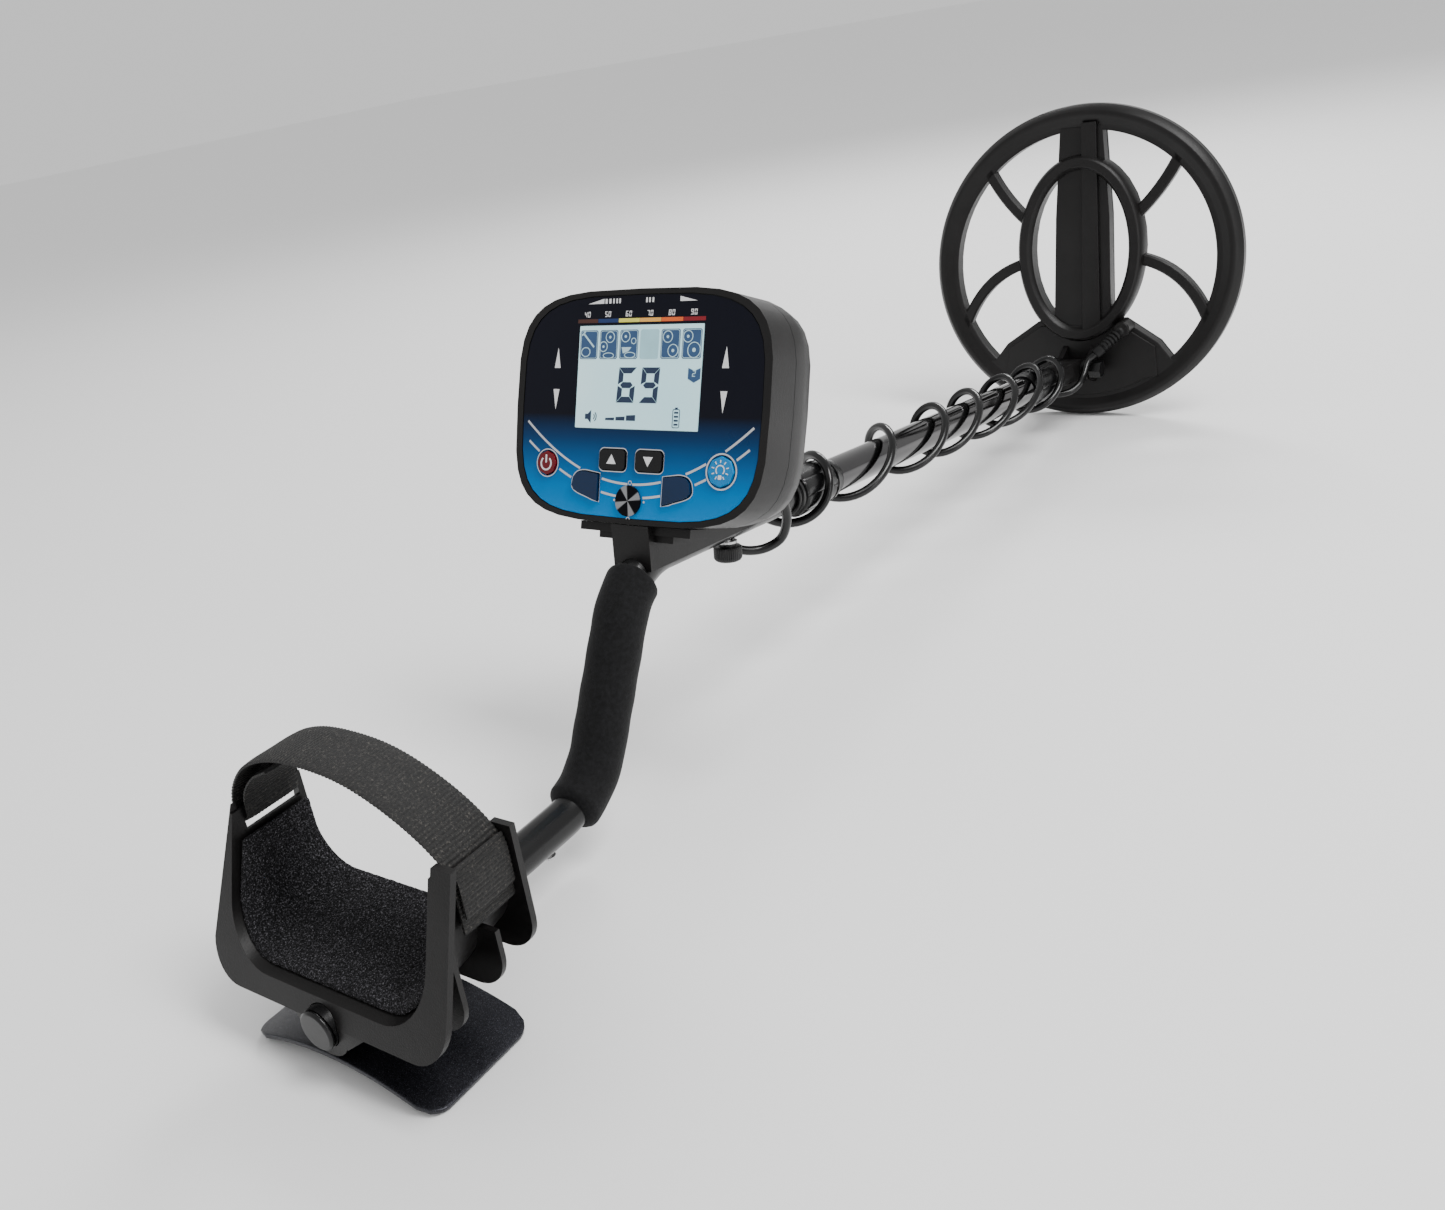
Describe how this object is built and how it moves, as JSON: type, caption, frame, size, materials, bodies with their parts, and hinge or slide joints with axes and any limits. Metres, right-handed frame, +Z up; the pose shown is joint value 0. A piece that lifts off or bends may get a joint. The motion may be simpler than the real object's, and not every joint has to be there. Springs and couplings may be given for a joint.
{
  "type": "metal detector",
  "caption": "Metal detector with bent foam-gripped tube, armrest, display box, telescopic shaft and round open search coil",
  "frame": {"origin": "centre of the footprint on the ground that the detector stands on", "axes": "+X to the user's right, +Y forward along the shaft towards the coil, +Z up"},
  "size_m": [0.254, 0.9258, 0.256],
  "materials": {
    "battery": "plain wrapped battery",
    "black_plastic": "semi-matt moulded plastic",
    "black_tube": "satin black powder coat",
    "board": "solder-masked board",
    "cable_jacket": "glossy cable jacket",
    "charcoal_plastic": "finely textured moulded plastic",
    "copper": "enamelled copper wire",
    "foam": "open-cell foam",
    "gloss_tube": "polished black shaft tube",
    "key_black": "gloss key",
    "key_blue": "gloss blue key",
    "key_red": "gloss red key",
    "lcd": "clear display window",
    "lcd_inside": "backlit display",
    "panel": "printed overlay",
    "rubber": "moulded rubber",
    "stand_metal": "satin metallic black paint",
    "steel": "plated steel",
    "webbing": "ribbed woven webbing"
  },
  "bodies": {
    "handle": {"upper_tube": "black_tube", "grip_foam": "foam", "tube_end_cap": "black_plastic", "tube_rivet": "steel", "armrest_cradle": "charcoal_plastic", "armrest_pad": "foam", "armrest_strap": "webbing", "stand_plate": "stand_metal", "stand_screw": "steel", "box_front": "charcoal_plastic", "box_back": "charcoal_plastic", "panel_overlay": "panel", "lcd_window": "lcd", "lcd_module": "lcd_inside", "keypad_sheet": "rubber", "circuit_board": "board", "badge": "steel", "speaker": "black_plastic", "battery_left": "battery", "battery_right": "battery", "case_screw_1": "steel", "case_screw_2": "steel", "case_screw_3": "steel", "case_screw_4": "steel", "cable_socket": "black_plastic", "box_bracket": "charcoal_plastic", "knob_screw": "steel", "knob_washer": "steel", "cable_tail": "cable_jacket"},
    "thumb_knob": {"thumb_knob": "black_plastic"},
    "battery_door": {"battery_door": "charcoal_plastic"},
    "key_power": {"key_power": "key_red"},
    "key_light": {"key_light": "key_blue"},
    "key_up": {"key_up": "key_black"},
    "key_down": {"key_down": "key_black"},
    "key_sensitivity": {"key_sensitivity": "key_blue"},
    "key_mode": {"key_mode": "key_blue"},
    "mid_tube": {"mid_tube": "gloss_tube", "upper_bush": "black_plastic", "lower_bush": "black_plastic", "cable_winding": "cable_jacket"},
    "upper_collar": {"upper_collar": "black_plastic"},
    "lower_collar": {"lower_collar": "black_plastic"},
    "rod": {"lower_rod": "charcoal_plastic", "cable_lead": "cable_jacket"},
    "coil": {"coil_shell": "charcoal_plastic", "coil_cover": "black_plastic", "transmit_winding": "copper", "receive_winding": "copper", "cable_gland": "rubber", "washer_left": "rubber", "washer_right": "rubber", "hinge_bolt": "black_plastic"},
    "hinge_nut": {"hinge_nut": "black_plastic"}
  },
  "joints": [
    {"name": "knob_turn", "type": "hinge", "parent": "handle", "child": "thumb_knob", "pos_m": [0, -0.12694, 0.10101], "axis": [0, 0.1298, 0.9915], "continuous": true},
    {"name": "battery_door_slide", "type": "slide", "parent": "handle", "child": "battery_door", "axis": [1, 0, 0], "range_m": [0, 0.04]},
    {"name": "key_power_press", "type": "slide", "parent": "handle", "child": "key_power", "axis": [0, 0.9311, -0.3649], "range_m": [0, 0.0005], "stiffness_N_per_m": 600},
    {"name": "key_light_press", "type": "slide", "parent": "handle", "child": "key_light", "axis": [0, 0.9311, -0.3649], "range_m": [0, 0.0005], "stiffness_N_per_m": 600},
    {"name": "key_up_press", "type": "slide", "parent": "handle", "child": "key_up", "axis": [0, 0.9311, -0.3649], "range_m": [0, 0.0005], "stiffness_N_per_m": 600},
    {"name": "key_down_press", "type": "slide", "parent": "handle", "child": "key_down", "axis": [0, 0.9311, -0.3649], "range_m": [0, 0.0005], "stiffness_N_per_m": 600},
    {"name": "key_sensitivity_press", "type": "slide", "parent": "handle", "child": "key_sensitivity", "axis": [0, 0.9311, -0.3649], "range_m": [0, 0.0005], "stiffness_N_per_m": 600},
    {"name": "key_mode_press", "type": "slide", "parent": "handle", "child": "key_mode", "axis": [0, 0.9311, -0.3649], "range_m": [0, 0.0005], "stiffness_N_per_m": 600},
    {"name": "mid_tube_slide", "type": "slide", "parent": "handle", "child": "mid_tube", "axis": [0, 0.9915, -0.1298], "range_m": [0, 0.135], "deforming": ["cable_winding", "cable_tail"]},
    {"name": "upper_collar_turn", "type": "hinge", "parent": "mid_tube", "child": "upper_collar", "pos_m": [0, -0.04088, 0.10588], "axis": [0, 0.9915, -0.1298], "range_deg": [0, 90]},
    {"name": "lower_collar_turn", "type": "hinge", "parent": "mid_tube", "child": "lower_collar", "pos_m": [0, 0.33094, 0.05719], "axis": [0, 0.9915, -0.1298], "range_deg": [0, 90]},
    {"name": "rod_slide", "type": "slide", "parent": "mid_tube", "child": "rod", "axis": [0, 0.9915, -0.1298], "range_m": [0, 0.135], "deforming": ["cable_lead"]},
    {"name": "coil_tilt", "type": "hinge", "parent": "rod", "child": "coil", "pos_m": [0, 0.42018, 0.04551], "axis": [1, 0, 0], "range_deg": [-80, 20], "deforming": ["cable_lead"]},
    {"name": "nut_turn", "type": "hinge", "parent": "coil", "child": "hinge_nut", "pos_m": [0.0196, 0.42018, 0.04551], "axis": [1, 0, 0], "continuous": true}
  ]
}
